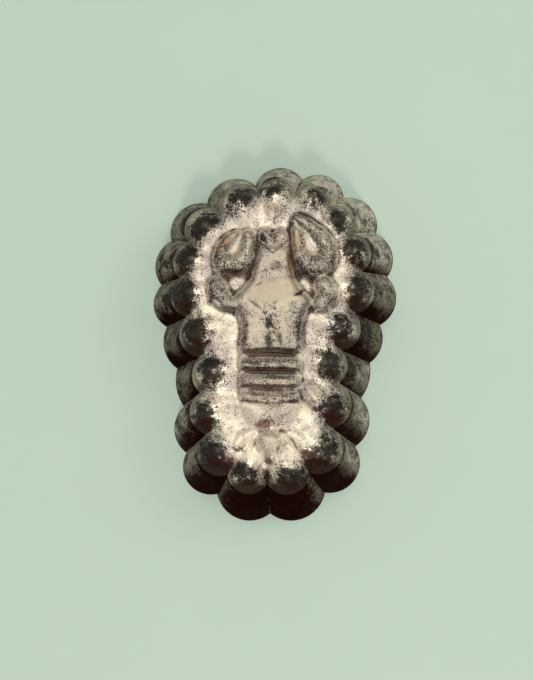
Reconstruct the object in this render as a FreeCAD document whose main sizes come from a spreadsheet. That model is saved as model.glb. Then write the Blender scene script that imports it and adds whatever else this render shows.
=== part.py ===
import FreeCAD, Part
import math
import os

from FreeCAD import Placement, Rotation, Vector

# An old tinned lobster mould, standing on its rim with the lobster on top.
# X runs across the mould, +Y towards the lobster's head, +Z up; the rim lies on Z = 0.
# Going round always starts in the valley right of the head flute and runs clockwise, seen from above.

# Driving sizes, in millimetres
SIZES = {
    "half_width": (60.5, "centre to the widest flute at the rim"),
    "half_length": (88.5, "centre to the head flute at the rim"),
    "skirt_base_height": (24.0, "rim to the lower edge of the top's skirt"),
    "skirt_height": (3.0, "height of the skirt under the domes"),
    "lap_height": (2.0, "how far the side walls reach up inside the skirt"),
    "dome_rise": (8.0, "skirt to the crest of a dome"),
    "dome_proud": (1.8, "how far the domes stand over the plate"),
    "dome_setback": (22.0, "flute tip at the rim to the middle of its dome"),
    "plate_edge_slope": (2.6, "width and height of the slope where the plate turns down between the domes"),
    "plate_edge_inset": (2.0, "valley at the skirt to the side of the plate"),
    "sheet_thickness": (0.5, "tinned sheet"),
    "solder_gap": (0.06, "space left between sheets that are soldered together"),
    "seam_bead_radius": (0.45, "run of solder down the inside of a seam"),
    "cut_overrun": (1.0, "how far a cutting shape passes the face it opens"),
    "carapace_half_width": (20.5, "middle of the lobster to the corner of its carapace"),
    "carapace_length": (58.5, "tail end to the beak of the carapace"),
    "carapace_middle": (18.2, "middle of the carapace, ahead of the mould's centre"),
    "carapace_rise": (5.2, "plate to the top of the carapace"),
    "claw_width": (24.0, "width of the large right claw"),
    "claw_length": (31.5, "length of the large right claw"),
    "claw_rise": (4.6, "plate to the top of a claw"),
    "claw_gap_radius": (1.5, "half the width of the gap between the fingers of a claw"),
    "arm_width": (14.5, "width of the right arm joint"),
    "arm_length": (18.5, "length of the right arm joint"),
    "arm_rise": (4.4, "plate to the top of an arm joint"),
    "form_lean": (0.9, "how far the side of a raised form leans in below its eased edge"),
    "form_edge_ease": (1.3, "width and height of the eased top edge of a raised form"),
    "tail_half_width": (14.8, "middle of the tail to the end of a band"),
    "tail_start": (15.9, "mould's centre to the middle of the first tail band"),
    "band_pitch": (7.9, "from one tail band to the next"),
    "band_radius": (5.6, "rounding of a tail band across"),
    "band_rise": (4.0, "plate to the top of a tail band"),
    "band_end_ease": (1.8, "width of the eased ends of a tail band"),
    "fan_root_length": (13.0, "length of the smooth joint after the bands"),
    "fan_root_rise": (2.4, "plate to the top of that joint"),
    "fan_root_place": (41.0, "mould's centre to the middle of that joint"),
    "leaf_length": (19.0, "length of the middle leaf of the tail fan"),
    "leaf_width": (12.5, "width of the middle leaf"),
    "leaf_rise": (3.2, "plate to the top of the middle leaf"),
    "leaf_place": (56.0, "mould's centre to the middle of that leaf"),
    "side_leaf_length": (15.0, "length of a side leaf of the tail fan"),
    "side_leaf_width": (7.0, "width of a side leaf"),
    "side_leaf_rise": (2.0, "plate to the top of a side leaf"),
    "side_leaf_offset": (11.0, "middle of the tail to the middle of a side leaf"),
    "side_leaf_place": (50.5, "mould's centre to the middle of a side leaf"),
    "leg_length": (14.0, "length of the small leg beside the tail"),
    "leg_width": (8.0, "width of that leg"),
    "leg_rise": (2.6, "plate to the top of that leg"),
    "leg_offset": (20.3, "middle of the tail to the middle of that leg"),
    "leg_place": (30.5, "mould's centre to the middle of that leg"),
}

# Rim valleys beside the flutes, from the head to the tail, as shares of the half width and half length
RIGHT_VALLEY_SHARES = [
    (0.202, 0.931), (0.547, 0.827), (0.820, 0.623), (0.918, 0.375), (0.863, 0.100),
    (0.785, -0.116), (0.717, -0.316), (0.678, -0.586), (0.440, -0.845),
]
LEFT_VALLEY_SHARES = [
    (-0.190, 0.894), (-0.589, 0.785), (-0.878, 0.564), (-0.946, 0.306), (-0.891, 0.068),
    (-0.795, -0.168), (-0.729, -0.382), (-0.696, -0.642), (-0.434, -0.866),
]
TAIL_VALLEY_SHARE = (0.0, -0.968)

# How far each flute bulges at the rim, as a share of the chord between its valleys
SIDE_BULGE_SHARES = [0.30, 0.28, 0.24, 0.255, 0.185, 0.11, 0.235, 0.325, 0.28]
HEAD_BULGE_SHARE = 0.32

# Flats that bend a flute round, that round a dome, its height outside and its height inside, and that round
# a corner of a raised form, its top edge outside and its top edge inside
FLUTE_FLATS = 7
DOME_FLATS = 14
DOME_RINGS = 3
HOLLOW_RINGS = 2
CORNER_FLATS = 3
EDGE_FLATS = 2
HOLLOW_EDGE_FLATS = 1

# Four corners lie in one plane when the last is this near to it, as a share of the solder gap
FLAT_SHARE = 0.0000001

# How far neighbouring domes run into each other: their inner radii against the space between them
DOME_REACH_SHARE = 1.04

# Corners of the raised forms, as shares of their own half width and half length, anticlockwise
CARAPACE_SHARES = [
    (-0.75, -1.0), (0.75, -1.0), (0.86, -0.62), (1.0, -0.08), (0.43, 0.40), (0.38, 0.93), (-0.38, 0.93),
    (-0.43, 0.40), (-1.0, -0.08), (-0.86, -0.62),
]
RIGHT_CLAW_SHARES = [
    (-0.85, 0.98), (-1.0, 0.0), (-0.55, -0.85), (0.30, -1.0), (0.92, -0.70), (1.0, 0.10), (0.55, 0.72),
    (-0.25, 1.0),
]
LEFT_CLAW_SHARES = [
    (-0.98, 0.25), (-0.92, -0.60), (-0.45, -0.98), (0.25, -0.90), (0.80, -0.25), (1.0, 0.55), (0.70, 0.98),
    (-0.35, 0.85),
]
RIGHT_ARM_SHARES = [(-0.95, -0.85), (0.75, -0.60), (1.0, -0.20), (0.45, 1.0), (-0.70, 0.85), (-1.0, 0.10)]
LEFT_ARM_SHARES = [(-1.0, -0.20), (-0.45, -0.95), (0.80, -0.85), (1.0, -0.30), (0.15, 0.95), (-0.80, 0.75)]
LEAF_SHARES = [
    (-1.0, 0.0), (-0.60, -0.80), (0.35, -1.0), (0.90, -0.55), (0.90, 0.55), (0.35, 1.0), (-0.60, 0.80),
]
FAN_ROOT_SHARES = [(-0.42, -1.0), (0.42, -1.0), (0.80, 0.1), (0.88, 1.0), (-0.88, 1.0), (-0.80, 0.1)]

# Middles of the claws and arms, as shares of the half width and half length of the mould
RIGHT_CLAW_PLACE_SHARE = (0.322, 0.460)
LEFT_CLAW_PLACE_SHARE = (-0.295, 0.418)
RIGHT_ARM_PLACE_SHARE = (0.425, 0.202)
LEFT_ARM_PLACE_SHARE = (-0.400, 0.193)

# The left claw and arm against the right ones
LEFT_CLAW_SIZE_SHARE = (0.90, 0.78)
LEFT_ARM_SIZE_SHARE = (0.88, 0.88)

# Corner rounding of a raised form, as a share of the shorter of its two sides at that corner
CORNER_SHARE = 0.42

# Ends of the gap between the fingers of a claw, as shares of the claw's half width and half length
RIGHT_GAP_SHARES = [(-0.98, 1.0), (-0.20, 0.72), (0.12, 0.20)]
LEFT_GAP_SHARES = [(-0.15, 1.05), (-0.28, 0.50), (-0.52, 0.05)]

# Third tail band: shorter and lower than the others
LAST_BAND_WIDTH_SHARE = 0.94
LAST_BAND_RISE_SHARE = 0.82

# Turns, in degrees
SIDE_LEAF_TURN = 42.0
LEG_TURN = -62.0

doc = FreeCAD.newDocument("lobster_mould")
sheet = doc.addObject("Spreadsheet::Sheet", "sizes")
for row, (name, (value, note)) in enumerate(SIZES.items(), start=1):
    sheet.set(f"A{row}", name)
    sheet.set(f"B{row}", str(value))
    sheet.setAlias(f"B{row}", name)
    sheet.set(f"C{row}", note)
doc.recompute()


def size(name):
    """A driving size read back from the sheet."""
    return float(getattr(sheet, name))


half_width = size("half_width")
half_length = size("half_length")
thickness = size("sheet_thickness")
gap = size("solder_gap")
overrun = size("cut_overrun")
skirt_base = size("skirt_base_height")
dome_base = skirt_base + size("skirt_height")
plate_top = dome_base + size("dome_rise") - size("dome_proud")
lap_top = skirt_base + size("lap_height")


# Flat geometry of the flutes

def left_of(direction):
    """The flat direction a quarter turn to the left: outward, when going clockwise."""
    return Vector(-direction.y, direction.x, 0).normalize()


def place(share):
    """A point of the rim plane from shares of the half width and half length."""
    return Vector(share[0] * half_width, share[1] * half_length, 0)


def rim_valleys():
    """The valleys at the rim, clockwise from the one right of the head flute."""
    shares = RIGHT_VALLEY_SHARES + [TAIL_VALLEY_SHARE] + LEFT_VALLEY_SHARES[::-1]
    return [place(share) for share in shares]


def circle_on_chord(start, end, bulge):
    """The circle through both ends of a chord that bulges out by the given distance."""
    half = (end - start).Length / 2
    radius = (half**2 + bulge**2) / (2 * bulge)
    return (start + end) / 2 + left_of(end - start) * (bulge - radius), radius


def outer_meeting(first, second):
    """The meeting point of two circles that lies on the outer side, going from the first to the second."""
    between = second[0] - first[0]
    along = (between.Length**2 + first[1] ** 2 - second[1] ** 2) / (2 * between.Length)
    out = math.sqrt(first[1] ** 2 - along**2)
    return first[0] + between.normalize() * along + left_of(between) * out


def flute_circles():
    """Circles of the flutes at the rim and of the domes over them, one of each for every flute."""
    valleys = rim_valleys()
    count = len(valleys)
    bulges = SIDE_BULGE_SHARES + SIDE_BULGE_SHARES[::-1] + [HEAD_BULGE_SHARE]
    rim = []
    outward = []
    for k in range(count):
        start, end = valleys[k], valleys[(k + 1) % count]
        rim.append(circle_on_chord(start, end, bulges[k] * (end - start).Length))
        outward.append(left_of(end - start))
    middles = []
    for k in range(count):
        tip = rim[k][0] + outward[k] * rim[k][1]
        axis = outward[k - 1] + outward[k] + outward[(k + 1) % count]
        middles.append(tip - axis.normalize() * size("dome_setback"))
    spaces = [(middles[(k + 1) % count] - middles[k]).Length for k in range(count)]
    domes = []
    for k in range(count):
        inner_radius = DOME_REACH_SHARE * max(spaces[k - 1], spaces[k]) / 2
        domes.append((middles[k], inner_radius + 2 * thickness + gap))
    return rim, domes


def smaller(circles, inset):
    """The same circles with their radius cut by the inset."""
    return [(centre, radius - inset) for centre, radius in circles]


def valleys_of(circles):
    """Where each circle meets the one before it."""
    return [outer_meeting(circles[k - 1], circles[k]) for k in range(len(circles))]


def bend_turns(circles):
    """For each flute, the turns round its circle where one flat of the sheet meets the next."""
    valleys = valleys_of(circles)
    turns = []
    for k, (centre, _) in enumerate(circles):
        start, end = valleys[k] - centre, valleys[(k + 1) % len(circles)] - centre
        first, span = math.atan2(start.y, start.x), start.getAngle(end)
        turns.append([first - span * flat / FLUTE_FLATS for flat in range(1, FLUTE_FLATS)])
    return turns


def flute_points(circles, turns, first, count, height):
    """Points of some flutes in a row at one level: valleys, and the bends between them."""
    valleys = valleys_of(circles)
    points = []
    for step in range(count + 1):
        k = (first + step) % len(circles)
        points.append(valleys[k])
        if step < count:
            centre, radius = circles[k]
            points += [centre + Vector(math.cos(turn), math.sin(turn), 0) * radius for turn in turns[k]]
    return [point + Vector(0, 0, height) for point in points]


def ring_points(circles, turns, height):
    """The closed fluted outline at one level."""
    return flute_points(circles, turns, 0, len(circles), height)[:-1]


def centred(circles, turns):
    """How far the box round the rim outline has its middle from the mould's centre."""
    outline = ring_points(circles, turns, 0)
    across, along = [point.x for point in outline], [point.y for point in outline]
    return Vector((min(across) + max(across)) / 2, (min(along) + max(along)) / 2, 0)


def moved(circles, step):
    """The same circles moved back by a step."""
    return [(centre - step, radius) for centre, radius in circles]


rim_circles, dome_circles = flute_circles()
rim_turns = bend_turns(rim_circles)
dome_turns = bend_turns(dome_circles)
off_centre = centred(rim_circles, rim_turns)
rim_circles = moved(rim_circles, off_centre)
dome_circles = moved(dome_circles, off_centre)
flute_count = len(rim_circles)

# The sheet leans, so its thickness measured level is larger than across the sheet
flare_run = size("dome_setback") - sum(radius for _, radius in dome_circles) / flute_count
level_thickness = thickness / math.cos(math.atan2(flare_run, skirt_base))
lap_circles = smaller(dome_circles, thickness + gap)


# Solids bent from flats

def feature(name, shape):
    """A document object that holds a shape."""
    item = doc.addObject("Part::Feature", name)
    item.Label = name
    item.Shape = shape
    return item


def flat_faces(corners):
    """One face on four corners, or two where they don't lie in one plane."""
    first, second, third, fourth = corners
    rise = (second - first).cross(fourth - first)
    if abs(rise.normalize().dot(third - first)) < gap * FLAT_SHARE:
        return [Part.Face(Part.makePolygon(corners + corners[:1]))]
    return [
        Part.Face(Part.makePolygon([first, second, third, first])),
        Part.Face(Part.makePolygon([first, third, fourth, first])),
    ]


def through_levels(levels):
    """The solid that joins closed outlines of equally many points, from the lowest level up."""
    faces = [Part.Face(Part.makePolygon(level + level[:1])) for level in (levels[0], levels[-1])]
    for low, high in zip(levels, levels[1:]):
        for k in range(len(low)):
            faces += flat_faces([low[k - 1], low[k], high[k], high[k - 1]])
    solid = Part.Solid(Part.Shell(faces))
    if solid.Volume < 0:
        solid.reverse()
    return solid


# Side walls: each strip flares straight from the rim to the skirt and stands up inside it

def strip_level(circles, turns, first, count, sheet_across, height):
    """The strip cut level: its outer bends, and its inner bends back again."""
    outer = flute_points(circles, turns, first, count, height)
    inner = flute_points(smaller(circles, sheet_across), turns, first, count, height)
    return outer + inner[::-1]


def side_wall(label, first, count):
    """One strip of the fluted side."""
    levels = [
        strip_level(rim_circles, rim_turns, first, count, level_thickness, 0),
        strip_level(lap_circles, dome_turns, first, count, thickness, skirt_base),
        strip_level(lap_circles, dome_turns, first, count, thickness, lap_top),
    ]
    return feature(label, through_levels(levels))


tail_flute = len(RIGHT_VALLEY_SHARES)
right_wall = side_wall("right_wall", 0, tail_flute)
left_wall = side_wall("left_wall", tail_flute, flute_count - tail_flute)


# Solid forms of the top. Each is made twice: full size, and smaller all round by the sheet, to hollow it

def skirt_block(name, inset, drop):
    """The fluted block under the domes, down to the lower edge of the skirt."""
    circles = smaller(dome_circles, inset)
    heights = (skirt_base - drop, dome_base)
    return feature(name, through_levels([ring_points(circles, dome_turns, height) for height in heights]))


def dome(name, circle, inset, rings):
    """A round cap on the skirt with a small flat crown."""
    foot = circle[1] - inset
    rise = size("dome_rise") - inset
    ball = (foot**2 + rise**2) / (2 * rise)
    low = math.asin(1 - rise / ball)
    levels = []
    for ring in range(rings + 1):
        lift = low + (math.pi / 2 - low) * ring / (rings + 0.5)
        height = rise if ring == rings else rise - ball + ball * math.sin(lift)
        middle = circle[0] + Vector(0, 0, dome_base + height)
        turns = [2 * math.pi * flat / DOME_FLATS for flat in range(DOME_FLATS)]
        reach = ball * math.cos(lift)
        levels.append([middle + Vector(math.cos(turn), math.sin(turn), 0) * reach for turn in turns])
    return feature(name, through_levels(levels))


def rounded_outline(corners, height):
    """A closed outline whose corners are rounded by a few flats."""
    points = []
    for k, corner in enumerate(corners):
        back, ahead = corners[k - 1] - corner, corners[(k + 1) % len(corners)] - corner
        reach = CORNER_SHARE * min(back.Length, ahead.Length)
        start, end = corner + back.normalize() * reach, corner + ahead.normalize() * reach
        for flat in range(CORNER_FLATS + 1):
            share = flat / CORNER_FLATS
            near, far = start + (corner - start) * share, corner + (end - corner) * share
            points.append(near + (far - near) * share + Vector(0, 0, height))
    return points


def plate_level(inward_step, height):
    """The outline of the plate, this far inside the valleys of the skirt."""
    corners = []
    for k, valley in enumerate(valleys_of(dome_circles)):
        inward = (dome_circles[k - 1][0] + dome_circles[k][0]) / 2 - valley
        corners.append(valley + inward.normalize() * inward_step)
    return rounded_outline(corners, height)


def plate_block(name, inset):
    """The flat plate between the domes, with its edge sloping down into the valleys."""
    edge = size("plate_edge_inset") + inset
    slope = size("plate_edge_slope")
    levels = [
        plate_level(edge, dome_base - size("skirt_height") / 2),
        plate_level(edge, plate_top - slope - inset / 2),
        plate_level(edge + slope, plate_top - inset),
    ]
    return feature(name, through_levels(levels))


def corners_of(shares, middle, width, length):
    """Corners of a form from shares of its half width and half length round its middle."""
    return [middle + Vector(x * width / 2, y * length / 2, 0) for x, y in shares]


def raised_form(shares, middle, width, length, rise, inset, turn=0):
    """A form that stands on the plate, its side leaning in and its top edge rounded by a few flats."""
    lean, ease = size("form_lean"), size("form_edge_ease")
    turned = Rotation(Vector(0, 0, 1), turn)
    flats = HOLLOW_EDGE_FLATS if inset else EDGE_FLATS
    sides = [(0, -2 * thickness)]
    for flat in range(flats + 1):
        bend = math.pi / 2 * flat / flats
        sides.append((lean + ease * (1 - math.cos(bend)), rise - inset - ease * (1 - math.sin(bend))))
    levels = []
    for step_in, height in sides:
        scale = 1 - 2 * (step_in + inset) / min(width, length)
        corners = corners_of(shares, Vector(), width * scale, length * scale)
        corners = [middle + turned.multVec(corner) for corner in corners]
        levels.append(rounded_outline(corners, plate_top + height))
    return through_levels(levels)


def groove(points, radius):
    """A channel along some points, its section a square on edge, to be cut from a form."""
    cuts = []
    for start, end in zip(points, points[1:]):
        along = (end - start).normalize()
        across = Vector(0, 0, 1).cross(along)
        start, end = start - along * radius, end + along * radius
        section = [start + across * radius, start - Vector(0, 0, radius), start - across * radius]
        section.append(start + Vector(0, 0, radius))
        cuts.append(Part.Face(Part.makePolygon(section + section[:1])).extrude(end - start))
    return cuts


def carapace(name, inset):
    """The lobster's back, from the beak to the first tail band."""
    middle = Vector(0, size("carapace_middle"), 0)
    width, length = 2 * size("carapace_half_width"), size("carapace_length")
    return feature(name, raised_form(CARAPACE_SHARES, middle, width, length, size("carapace_rise"), inset))


def claw(name, shares, gap_shares, place_share, size_share, inset):
    """A claw with the gap between its two fingers."""
    width = size_share[0] * size("claw_width")
    length = size_share[1] * size("claw_length")
    middle = place(place_share)
    block = raised_form(shares, middle, width, length, size("claw_rise"), inset)
    up = Vector(0, 0, plate_top + size("claw_rise"))
    points = [point + up for point in corners_of(gap_shares, middle, width, length)]
    return feature(name, block.cut(groove(points, size("claw_gap_radius") + inset)))


def arm(name, shares, place_share, size_share, inset):
    """The joint between a claw and the carapace."""
    width = size_share[0] * size("arm_width")
    length = size_share[1] * size("arm_length")
    return feature(name, raised_form(shares, place(place_share), width, length, size("arm_rise"), inset))


def tail_band(name, number, width_share, rise_share, inset):
    """A rounded rib across the tail."""
    radius = size("band_radius") - inset
    half = width_share * size("tail_half_width") - inset
    height = plate_top + rise_share * size("band_rise") - size("band_radius")
    start = Vector(-half, -size("tail_start") - number * size("band_pitch"), height)
    rib = Part.makeCylinder(radius, 2 * half, start, Vector(1, 0, 0))
    ends = [edge for edge in rib.Edges if isinstance(edge.Curve, Part.Circle)]
    return feature(name, rib.makeChamfer(size("band_end_ease"), ends))


def fan_root(name, inset):
    """The smooth, narrowing joint between the tail bands and the fan."""
    middle = Vector(0, -size("fan_root_place"), 0)
    width, length = 2 * size("tail_half_width"), size("fan_root_length")
    return feature(name, raised_form(FAN_ROOT_SHARES, middle, width, length, size("fan_root_rise"), inset))


def leaf(name, middle, turn, kind, inset):
    """A low leaf of the tail fan or a leg, pointed at its outer end."""
    length, width = size(kind + "_length"), size(kind + "_width")
    return feature(name, raised_form(LEAF_SHARES, middle, length, width, size(kind + "_rise"), inset, turn))


def top_forms(suffix, inset, drop, rings):
    """Every form of the top, moved in by the inset: first the fluted block, then what stands on it."""
    block = [skirt_block("skirt" + suffix, inset, drop), plate_block("plate" + suffix, inset)]
    for k, circle in enumerate(dome_circles):
        block.append(dome(f"dome_{k + 1}" + suffix, circle, inset, rings))
    forms = [
        carapace("carapace" + suffix, inset),
        claw(
            "right_claw" + suffix, RIGHT_CLAW_SHARES, RIGHT_GAP_SHARES, RIGHT_CLAW_PLACE_SHARE, (1, 1), inset,
        ),
        claw(
            "left_claw" + suffix, LEFT_CLAW_SHARES, LEFT_GAP_SHARES, LEFT_CLAW_PLACE_SHARE,
            LEFT_CLAW_SIZE_SHARE, inset,
        ),
        arm("right_arm" + suffix, RIGHT_ARM_SHARES, RIGHT_ARM_PLACE_SHARE, (1, 1), inset),
        arm("left_arm" + suffix, LEFT_ARM_SHARES, LEFT_ARM_PLACE_SHARE, LEFT_ARM_SIZE_SHARE, inset),
        tail_band("band_1" + suffix, 0, 1, 1, inset),
        tail_band("band_2" + suffix, 1, 1, 1, inset),
        tail_band("band_3" + suffix, 2, LAST_BAND_WIDTH_SHARE, LAST_BAND_RISE_SHARE, inset),
        fan_root("fan_root" + suffix, inset),
    ]
    side = size("side_leaf_offset")
    side_place = -size("side_leaf_place")
    forms += [
        leaf("leaf" + suffix, Vector(0, -size("leaf_place"), 0), 90, "leaf", inset),
        leaf("right_leaf" + suffix, Vector(side, side_place, 0), 180 - SIDE_LEAF_TURN, "side_leaf", inset),
        leaf("left_leaf" + suffix, Vector(-side, side_place, 0), SIDE_LEAF_TURN, "side_leaf", inset),
        leaf("leg" + suffix, Vector(size("leg_offset"), -size("leg_place"), 0), LEG_TURN, "leg", inset),
    ]
    for form in forms:
        form.Placement = Placement(-off_centre, Rotation())
    return block, forms


def joined(name, block, forms):
    """The fluted block in one step, then each form that stands on it, one after another."""
    whole = block[0].Shape.fuse([item.Shape for item in block[1:]])
    for form in forms:
        whole = whole.fuse(form.Shape)
    return feature(name, whole)


def pressed_top():
    """The pressed sheet of the top: the outer forms less the same forms moved in by the sheet."""
    top = doc.addObject("Part::Cut", "lobster_top")
    top.Label = "lobster_top"
    top.Base = joined("top_outside", *top_forms("_outside", 0, 0, DOME_RINGS))
    top.Tool = joined("top_hollow", *top_forms("_hollow", thickness, overrun, HOLLOW_RINGS))
    return top


# Solder

def shoulder_solder():
    """The run of solder inside the skirt, over the edge of the side walls."""
    heights = (lap_top + gap, dome_base - gap)
    outer = through_levels([ring_points(lap_circles, dome_turns, height) for height in heights])
    core = [ring_points(smaller(lap_circles, thickness), dome_turns, height) for height in heights]
    core[0] = [point - Vector(0, 0, overrun) for point in core[0]]
    core[1] = [point + Vector(0, 0, overrun) for point in core[1]]
    run = doc.addObject("Part::Cut", "shoulder_solder")
    run.Label = "shoulder_solder"
    run.Base = feature("shoulder_outside", outer)
    run.Tool = feature("shoulder_core", through_levels(core))
    return run


def seam_solder(label, k):
    """The run of solder down the inside of the valley where the two strips meet."""
    low = valleys_of(smaller(rim_circles, level_thickness))[k]
    high = valleys_of(smaller(lap_circles, thickness))[k] + Vector(0, 0, skirt_base)
    radius = size("seam_bead_radius")
    sides = [(low - centre).normalize() for centre, _ in (rim_circles[k - 1], rim_circles[k])]
    inward = -(sides[0] + sides[1]).normalize() * (radius + gap)
    rise = (high - low) / skirt_base
    start = low + inward + rise * 2 * radius
    end = low + inward + rise * (skirt_base - 2 * radius)
    run = doc.addObject("Part::Cylinder", label)
    run.Label = label
    run.setExpression("Radius", "sizes.seam_bead_radius * 1 mm")
    run.Height = (end - start).Length
    run.Placement = Placement(start, Rotation(Vector(0, 0, 1), end - start))
    return run


nodes = [
    pressed_top(),
    left_wall,
    right_wall,
    shoulder_solder(),
    seam_solder("head_seam_solder", 0),
    seam_solder("tail_seam_solder", tail_flute),
]
doc.recompute()

for item in doc.Objects:
    if "Invalid" in item.State or "Error" in item.State:
        raise RuntimeError(f"{item.Name} failed: {item.State}")
for node in nodes:
    if node.Shape.isNull() or not node.Shape.isValid() or len(node.Shape.Solids) != 1:
        raise RuntimeError(f"{node.Label} is not one valid solid")

os.makedirs("parts", exist_ok=True)
for node in nodes:
    node.Shape.exportStep(f"parts/{node.Label}.step")
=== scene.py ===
"""Dresses an old tinned lobster mould that stands on its rim, the pressed lobster on top.

Lengths are written in millimetres and turned into metres where a mesh is made. X runs across the mould,
+Y towards the lobster's head, +Z up, and the rim lies on Z = 0.
"""
import logging
import math
from dataclasses import dataclass, field
from enum import Enum
from functools import cached_property
from typing import Any

import bpy
import numpy as np
from mathutils import Matrix, Vector


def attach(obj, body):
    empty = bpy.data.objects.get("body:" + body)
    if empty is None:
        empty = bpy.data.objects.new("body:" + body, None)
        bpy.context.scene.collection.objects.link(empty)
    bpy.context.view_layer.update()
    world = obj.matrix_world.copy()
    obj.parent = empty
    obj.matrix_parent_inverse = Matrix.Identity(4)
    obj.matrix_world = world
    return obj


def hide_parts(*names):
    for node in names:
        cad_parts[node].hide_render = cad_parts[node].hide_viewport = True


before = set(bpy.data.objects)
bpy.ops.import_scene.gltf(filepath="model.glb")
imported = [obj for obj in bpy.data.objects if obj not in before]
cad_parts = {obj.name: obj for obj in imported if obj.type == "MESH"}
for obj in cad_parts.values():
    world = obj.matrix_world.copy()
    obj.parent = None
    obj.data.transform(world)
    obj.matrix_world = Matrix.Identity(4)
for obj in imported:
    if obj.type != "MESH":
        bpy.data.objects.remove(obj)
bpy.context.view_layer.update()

MM = 0.001
FAR_COLOUR = (0.54, 0.65, 0.54)
MERGE_DIGITS = 5
log = logging.getLogger("lobster_mould")

Array = np.ndarray
Colour = tuple[float, float, float]
Triple = tuple[float, float, float]
Pairs = tuple[tuple[float, float], ...]


# Plan of the flutes

@dataclass(frozen=True)
class Ring:
    """Circles in a row round the mould, each meeting the next in a valley."""

    centres: Array
    radii: Array

    def shrunk(self, inset: float) -> "Ring":
        """The same circles with their radii cut by the inset."""
        return Ring(self.centres, self.radii - inset)

    def moved(self, step: Array) -> "Ring":
        """The same circles moved by a step."""
        return Ring(self.centres + step, self.radii)

    def valleys(self) -> Array:
        """Where each circle meets the one before it, on the outer side.

        Returns:
            One point for each circle, going clockwise.
        """
        before, before_radii = np.roll(self.centres, 1, 0), np.roll(self.radii, 1)
        between = self.centres - before
        space = np.linalg.norm(between, axis=1)
        along = (space**2 + before_radii**2 - self.radii**2) / (2 * space)
        out = np.sqrt(before_radii**2 - along**2)
        forward = between / space[:, None]
        return before + forward * along[:, None] + left_of(forward) * out[:, None]

    def bends(self, per_flute: int) -> Array:
        """Points round the whole outline, the same number for each flute, from the first valley on.

        Args:
            per_flute: how many columns of mesh a flute gets.

        Returns:
            An array of points, clockwise.
        """
        valleys = self.valleys()
        start = valleys - self.centres
        end = np.roll(valleys, -1, 0) - self.centres
        first = np.arctan2(start[:, 1], start[:, 0])
        span = np.mod(first - np.arctan2(end[:, 1], end[:, 0]), 2 * math.pi)
        shares = np.arange(per_flute) / per_flute
        turns = first[:, None] - span[:, None] * shares[None, :]
        directions = np.stack([np.cos(turns), np.sin(turns)], 2)
        points = self.centres[:, None, :] + directions * self.radii[:, None, None]
        return points.reshape(-1, 2)


def left_of(directions: Array) -> Array:
    """Flat directions turned a quarter to the left: outward, when going clockwise."""
    return np.stack([-directions[:, 1], directions[:, 0]], 1)


@dataclass
class FluteLine:
    """The plan of the flutes, from the same driving sizes as the solids."""

    half_width: float = 60.5
    half_length: float = 88.5
    skirt_base: float = 24.0
    skirt_height: float = 3.0
    lap_height: float = 2.0
    dome_rise: float = 8.0
    dome_proud: float = 1.8
    dome_setback: float = 22.0
    thickness: float = 0.5
    gap: float = 0.06
    reach_share: float = 1.04
    columns: int = 26
    inside_share: float = 0.997
    right_shares: Pairs = (
        (0.202, 0.931), (0.547, 0.827), (0.820, 0.623), (0.918, 0.375), (0.863, 0.100),
        (0.785, -0.116), (0.717, -0.316), (0.678, -0.586), (0.440, -0.845),
    )
    left_shares: Pairs = (
        (-0.190, 0.894), (-0.589, 0.785), (-0.878, 0.564), (-0.946, 0.306), (-0.891, 0.068),
        (-0.795, -0.168), (-0.729, -0.382), (-0.696, -0.642), (-0.434, -0.866),
    )
    tail_share: tuple[float, float] = (0.0, -0.968)
    side_bulges: tuple[float, ...] = (0.30, 0.28, 0.24, 0.255, 0.185, 0.11, 0.235, 0.325, 0.28)
    head_bulge: float = 0.32
    profile_power: float = 2.2
    rim: Ring = field(init=False)
    domes: Ring = field(init=False)
    inward: Array = field(init=False)
    shift: Array = field(init=False)

    def __post_init__(self) -> None:
        """Works out the circles at the rim and of the domes, centred on the box round the rim."""
        shares = self.right_shares + (self.tail_share,) + self.left_shares[::-1]
        valleys = np.array(shares) * (self.half_width, self.half_length)
        ends = np.roll(valleys, -1, 0)
        chords = ends - valleys
        lengths = np.linalg.norm(chords, axis=1)
        bulges = np.array(self.side_bulges + self.side_bulges[::-1] + (self.head_bulge,)) * lengths
        radii = (lengths**2 / 4 + bulges**2) / (2 * bulges)
        outward = left_of(chords / lengths[:, None])
        centres = (valleys + ends) / 2 + outward * (bulges - radii)[:, None]
        rim = Ring(centres, radii)
        axes = np.roll(outward, 1, 0) + outward + np.roll(outward, -1, 0)
        axes /= np.linalg.norm(axes, axis=1)[:, None]
        middles = centres + outward * radii[:, None] - axes * self.dome_setback
        spaces = np.linalg.norm(np.roll(middles, -1, 0) - middles, axis=1)
        reaches = self.reach_share * np.maximum(spaces, np.roll(spaces, 1)) / 2
        domes = Ring(middles, reaches + 2 * self.thickness + self.gap)
        self.inward = -axes
        outline = rim.bends(self.columns)
        self.shift = -(outline.min(0) + outline.max(0)) / 2
        self.rim = rim.moved(self.shift)
        self.domes = domes.moved(self.shift)

    @property
    def count(self) -> int:
        """How many flutes there are."""
        return len(self.rim.radii)

    @property
    def tail_flute(self) -> int:
        """The first flute left of the tail valley."""
        return len(self.right_shares)

    @property
    def dome_base(self) -> float:
        """The height at which the domes start."""
        return self.skirt_base + self.skirt_height

    @property
    def crest(self) -> float:
        """The height of the crest of a dome."""
        return self.dome_base + self.dome_rise

    @property
    def plate_top(self) -> float:
        """The height of the flat plate."""
        return self.crest - self.dome_proud


# Heights pressed into the top

def soft_max(first: Array, second: Array, width: float) -> Array:
    """The larger of two heights, with the fold between them rounded.

    Args:
        first: one height field.
        second: the other.
        width: how wide the rounding is, in millimetres of height.

    Returns:
        The joined height field.
    """
    share = np.clip(0.5 + 0.5 * (first - second) / width, 0, 1)
    return second + (first - second) * share + width * share * (1 - share)


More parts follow.
